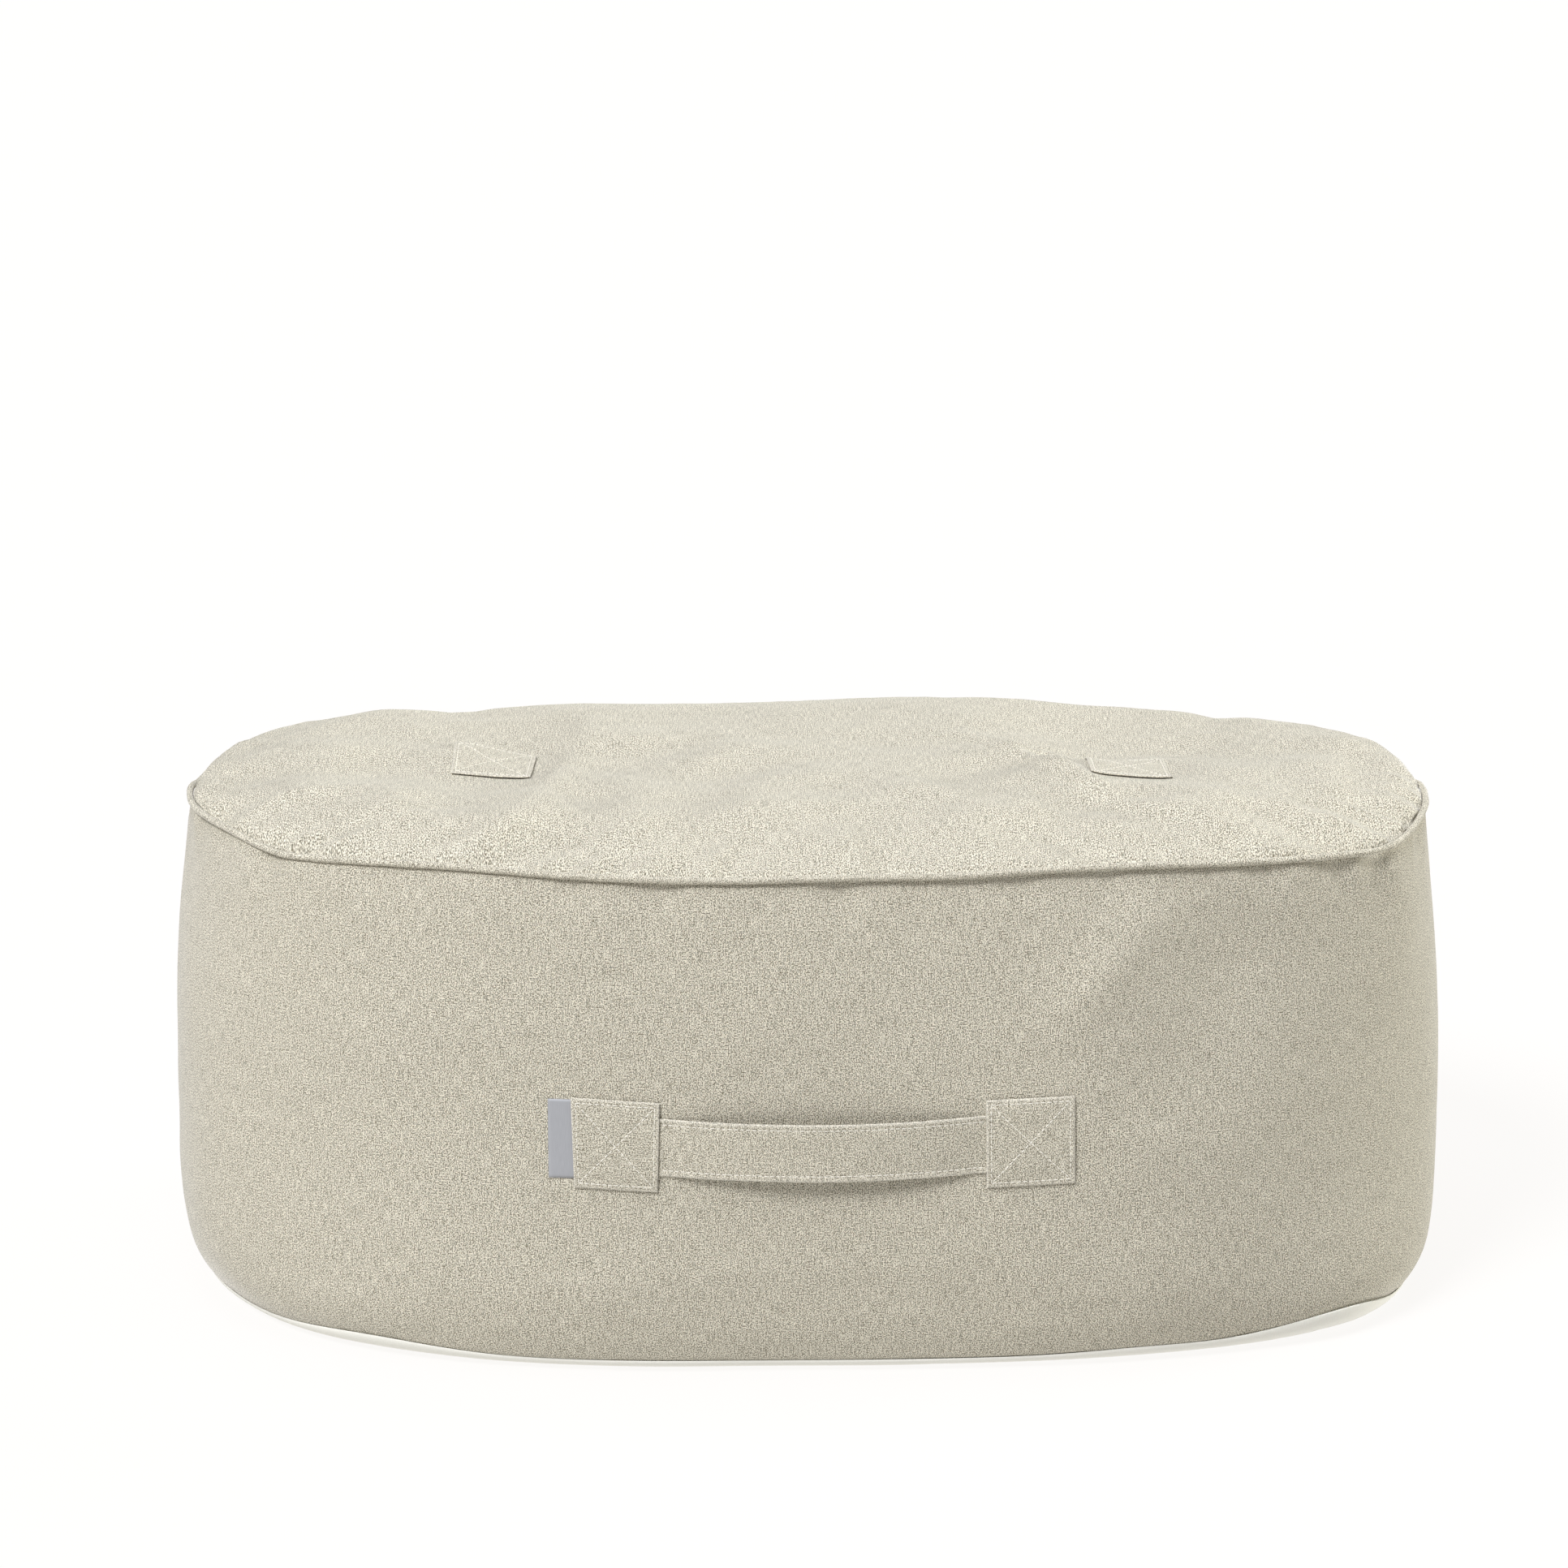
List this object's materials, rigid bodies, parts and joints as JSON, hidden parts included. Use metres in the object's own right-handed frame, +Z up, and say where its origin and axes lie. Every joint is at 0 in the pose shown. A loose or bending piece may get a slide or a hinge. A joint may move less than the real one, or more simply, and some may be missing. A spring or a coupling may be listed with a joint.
{
  "type": "oblong pouf",
  "caption": "Large oblong floor pouf: a filled cloth body with a gently crowned top, piped top seam, rounded sides, a carrying strap on the front and square reinforcing patches.",
  "frame": {"origin": "middle of the pouf's footprint, on the floor", "axes": "+X along the long side, to the right seen from the strap side; +Y from the strap side to the back; +Z up"},
  "size_m": [1.1998, 0.7136, 0.4975],
  "materials": {
    "cover_cloth": "plain-woven melange cloth, warm sand beige, matt",
    "base_cloth": "plain matt cloth, off-white",
    "label_satin": "satin ribbon, silver grey, soft sheen",
    "seam_thread": "twisted sewing thread, pale cream"
  },
  "bodies": {
    "root": {"filled_cover": "cover_cloth", "base_panel": "base_cloth", "top_piping": "cover_cloth", "handle_strap": "cover_cloth", "handle_patch_left": "cover_cloth", "handle_patch_right": "cover_cloth", "label_tab": "label_satin", "top_patch_left": "cover_cloth", "top_patch_right": "cover_cloth"}
  },
  "joints": []
}
